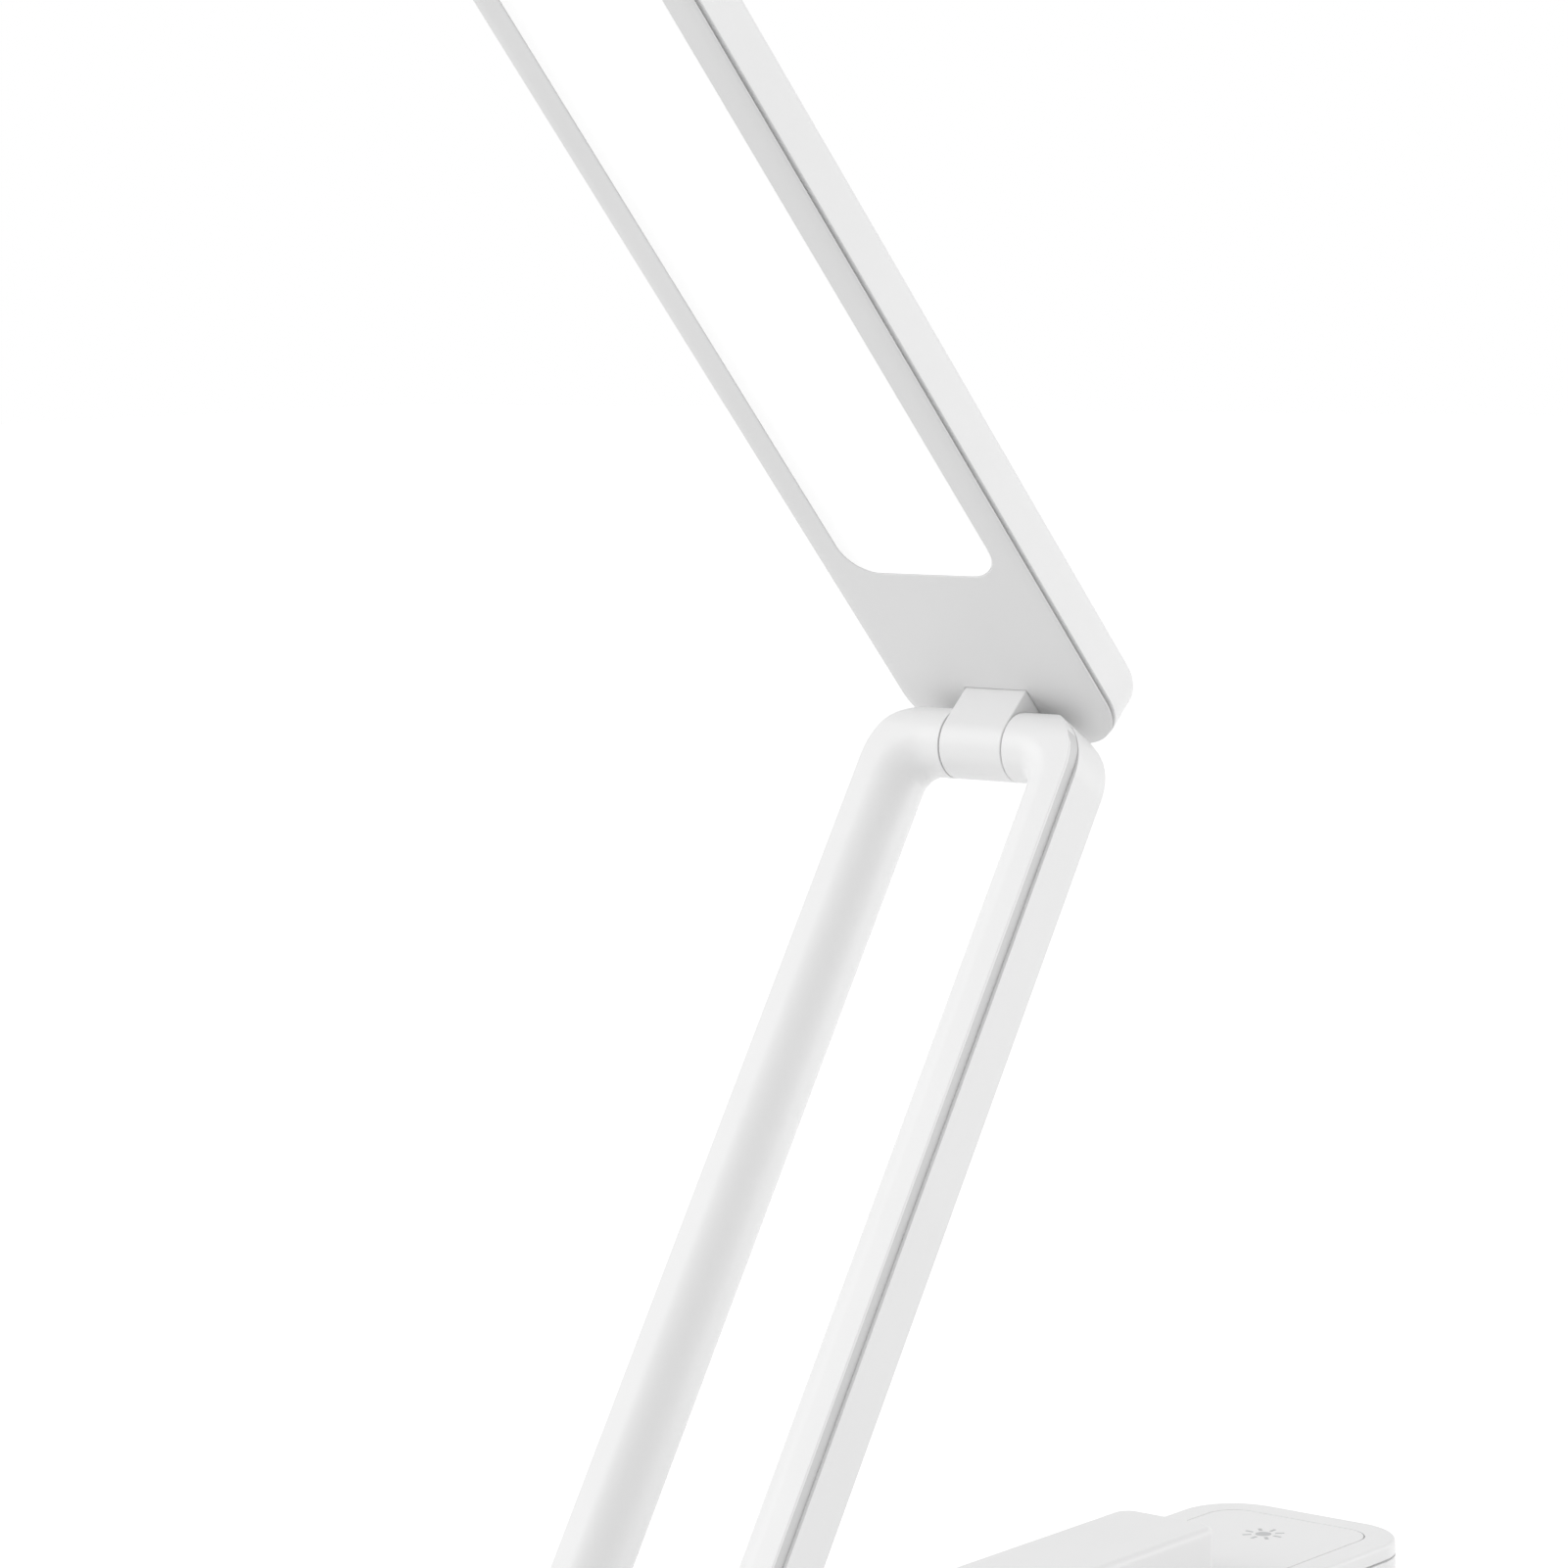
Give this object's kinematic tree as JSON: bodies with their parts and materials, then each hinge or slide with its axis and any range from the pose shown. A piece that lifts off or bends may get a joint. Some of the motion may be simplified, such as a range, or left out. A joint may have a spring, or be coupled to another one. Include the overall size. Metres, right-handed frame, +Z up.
{
  "type": "desk lamp",
  "caption": "Folding cordless LED desk lamp: flat base with a raised battery island, loop-shaped arm on a hinge, and a slim light head on a second hinge.",
  "frame": {"origin": "middle of the underside of the base's anti-slip pad, on the desk", "axes": "+X from the arm's hinge towards the touch end of the base, +Y to the left across the base, +Z up"},
  "size_m": [0.2334, 0.05, 0.3402],
  "materials": {
    "rubber_pad": "matt",
    "white_abs": "satin",
    "face_abs": "satin",
    "bracket_metal": "satin white paint",
    "symbol_print": "silver grey inlay",
    "copper": "bare",
    "board_laminate": "solder mask",
    "chip_epoxy": "moulded",
    "steel": "plated",
    "black_plastic": "moulded",
    "clear_plastic": "clear",
    "cell_wrap": "shrink wrap",
    "cast_weight": "raw",
    "lead_sheath": "soft sheath",
    "acetal": "moulded",
    "opal_acrylic": "opal, lit from behind",
    "clear_acrylic": "clear with printed dots",
    "reflector_film": "white film",
    "led_laminate": "white solder mask",
    "led_phosphor": "phosphor lens"
  },
  "bodies": {
    "base": {"anti_slip_pad": "rubber_pad", "base_lower_shell": "white_abs", "base_rim": "white_abs", "base_deck": "white_abs", "touch_symbol": "symbol_print", "touch_electrode": "copper", "control_board": "board_laminate", "board_components": "chip_epoxy", "usb_socket": "steel", "usb_tongue": "black_plastic", "charge_light": "clear_plastic", "battery_cells": "cell_wrap", "battery_tabs": "steel", "counterweights": "cast_weight", "case_screws": "steel", "board_screws": "steel", "base_hinge_bracket": "bracket_metal", "bracket_screws": "steel", "base_lead": "lead_sheath", "lower_bushes": "acetal"},
    "arm": {"left_leg_shell": "white_abs", "right_leg_shell": "white_abs", "left_leg_band": "white_abs", "right_leg_band": "white_abs", "arm_screws": "steel", "arm_lead": "lead_sheath", "lower_axle": "steel", "lower_washers": "steel", "lower_nut": "steel", "upper_axle": "steel", "upper_washers": "steel", "upper_nut": "steel"},
    "head": {"upper_bushes": "acetal", "head_back_cover": "white_abs", "head_face_plate": "face_abs", "head_hinge_bracket": "bracket_metal", "head_screws": "steel", "diffuser": "opal_acrylic", "light_guide": "clear_acrylic", "reflector_sheet": "reflector_film", "led_board": "led_laminate", "leds": "led_phosphor", "head_lead": "lead_sheath"}
  },
  "joints": [
    {"name": "arm_tilt", "type": "hinge", "parent": "base", "child": "arm", "pos_m": [-0.10225, 0, 0.0251], "axis": [0, -1, 0], "range_deg": [-56.6, 33.4]},
    {"name": "head_tilt", "type": "hinge", "parent": "arm", "child": "head", "pos_m": [0.00152, 0, 0.18247], "axis": [0, 1, 0], "range_deg": [-104.6, 1.4]}
  ]
}
